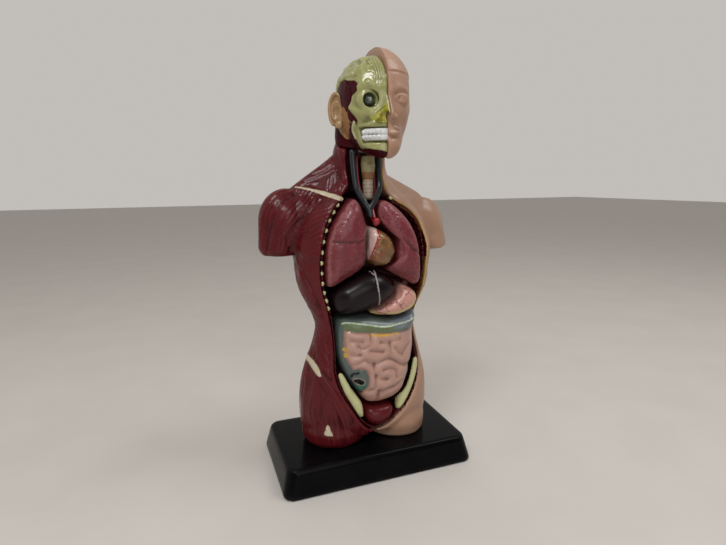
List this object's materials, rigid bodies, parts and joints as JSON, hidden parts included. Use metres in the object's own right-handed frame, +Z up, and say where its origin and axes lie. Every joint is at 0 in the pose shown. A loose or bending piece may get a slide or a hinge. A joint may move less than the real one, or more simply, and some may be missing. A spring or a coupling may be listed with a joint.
{
  "type": "torso anatomy model",
  "caption": "Desk-top torso anatomy model on a rectangular base, half muscle and half skin, with an open front, lift-out organs and a lift-off skull half.",
  "frame": {"origin": "centre of the base plate's underside", "axes": "+Z up; the figure faces -Y; the figure's own right side, the muscle side, is -X"},
  "size_m": [0.1336, 0.0826, 0.272],
  "materials": {
    "base_plastic": "gloss",
    "screw_steel": "satin",
    "muscle_paint": "gloss",
    "skin_paint": "satin",
    "cavity_paint": "satin",
    "pin_plastic": "satin",
    "bone_paint": "gloss",
    "vein_paint": "gloss",
    "artery_paint": "gloss",
    "eye_gloss": "gloss",
    "tooth_white": "gloss",
    "ear_paint": "satin",
    "lung_paint": "gloss",
    "heart_paint": "gloss",
    "liver_paint": "gloss",
    "stomach_paint": "gloss",
    "intestine_paint": "gloss"
  },
  "bodies": {
    "torso": {"base_plate": "base_plastic", "base_screws": "screw_steel", "muscle_half_shell": "muscle_paint", "skin_half_shell": "skin_paint", "cavity_tray": "cavity_paint", "organ_pins": "pin_plastic", "cut_rib_ends": "bone_paint", "pelvis_bone_right": "bone_paint", "pelvis_bone_left": "bone_paint", "bladder": "muscle_paint", "larynx_trachea": "bone_paint", "neck_veins": "vein_paint", "neck_arteries": "artery_paint", "face_half": "skin_paint"},
    "skull": {"skull_half": "bone_paint", "jaw_muscle": "muscle_paint", "eyeball": "eye_gloss", "teeth": "tooth_white", "ear_right": "ear_paint"},
    "right_lung": {"lung_right": "lung_paint"},
    "left_lung": {"lung_left": "lung_paint"},
    "heart_body": {"heart": "heart_paint"},
    "liver_body": {"liver": "liver_paint"},
    "stomach_body": {"stomach": "stomach_paint"},
    "gut": {"intestines": "intestine_paint"}
  },
  "joints": [
    {"name": "lift_skull_half", "type": "slide", "parent": "torso", "child": "skull", "axis": [-1, 0, 0], "range_m": [0, 0.05]},
    {"name": "lift_right_lung", "type": "slide", "parent": "torso", "child": "right_lung", "axis": [0, -1, 0], "range_m": [0, 0.06]},
    {"name": "lift_left_lung", "type": "slide", "parent": "torso", "child": "left_lung", "axis": [0, -1, 0], "range_m": [0, 0.06]},
    {"name": "lift_heart", "type": "slide", "parent": "torso", "child": "heart_body", "axis": [0, -1, 0], "range_m": [0, 0.06]},
    {"name": "lift_liver", "type": "slide", "parent": "torso", "child": "liver_body", "axis": [0, -1, 0], "range_m": [0, 0.06]},
    {"name": "lift_stomach", "type": "slide", "parent": "torso", "child": "stomach_body", "axis": [0, -1, 0], "range_m": [0, 0.06]},
    {"name": "lift_intestines", "type": "slide", "parent": "torso", "child": "gut", "axis": [0, -1, 0], "range_m": [0, 0.06]}
  ]
}
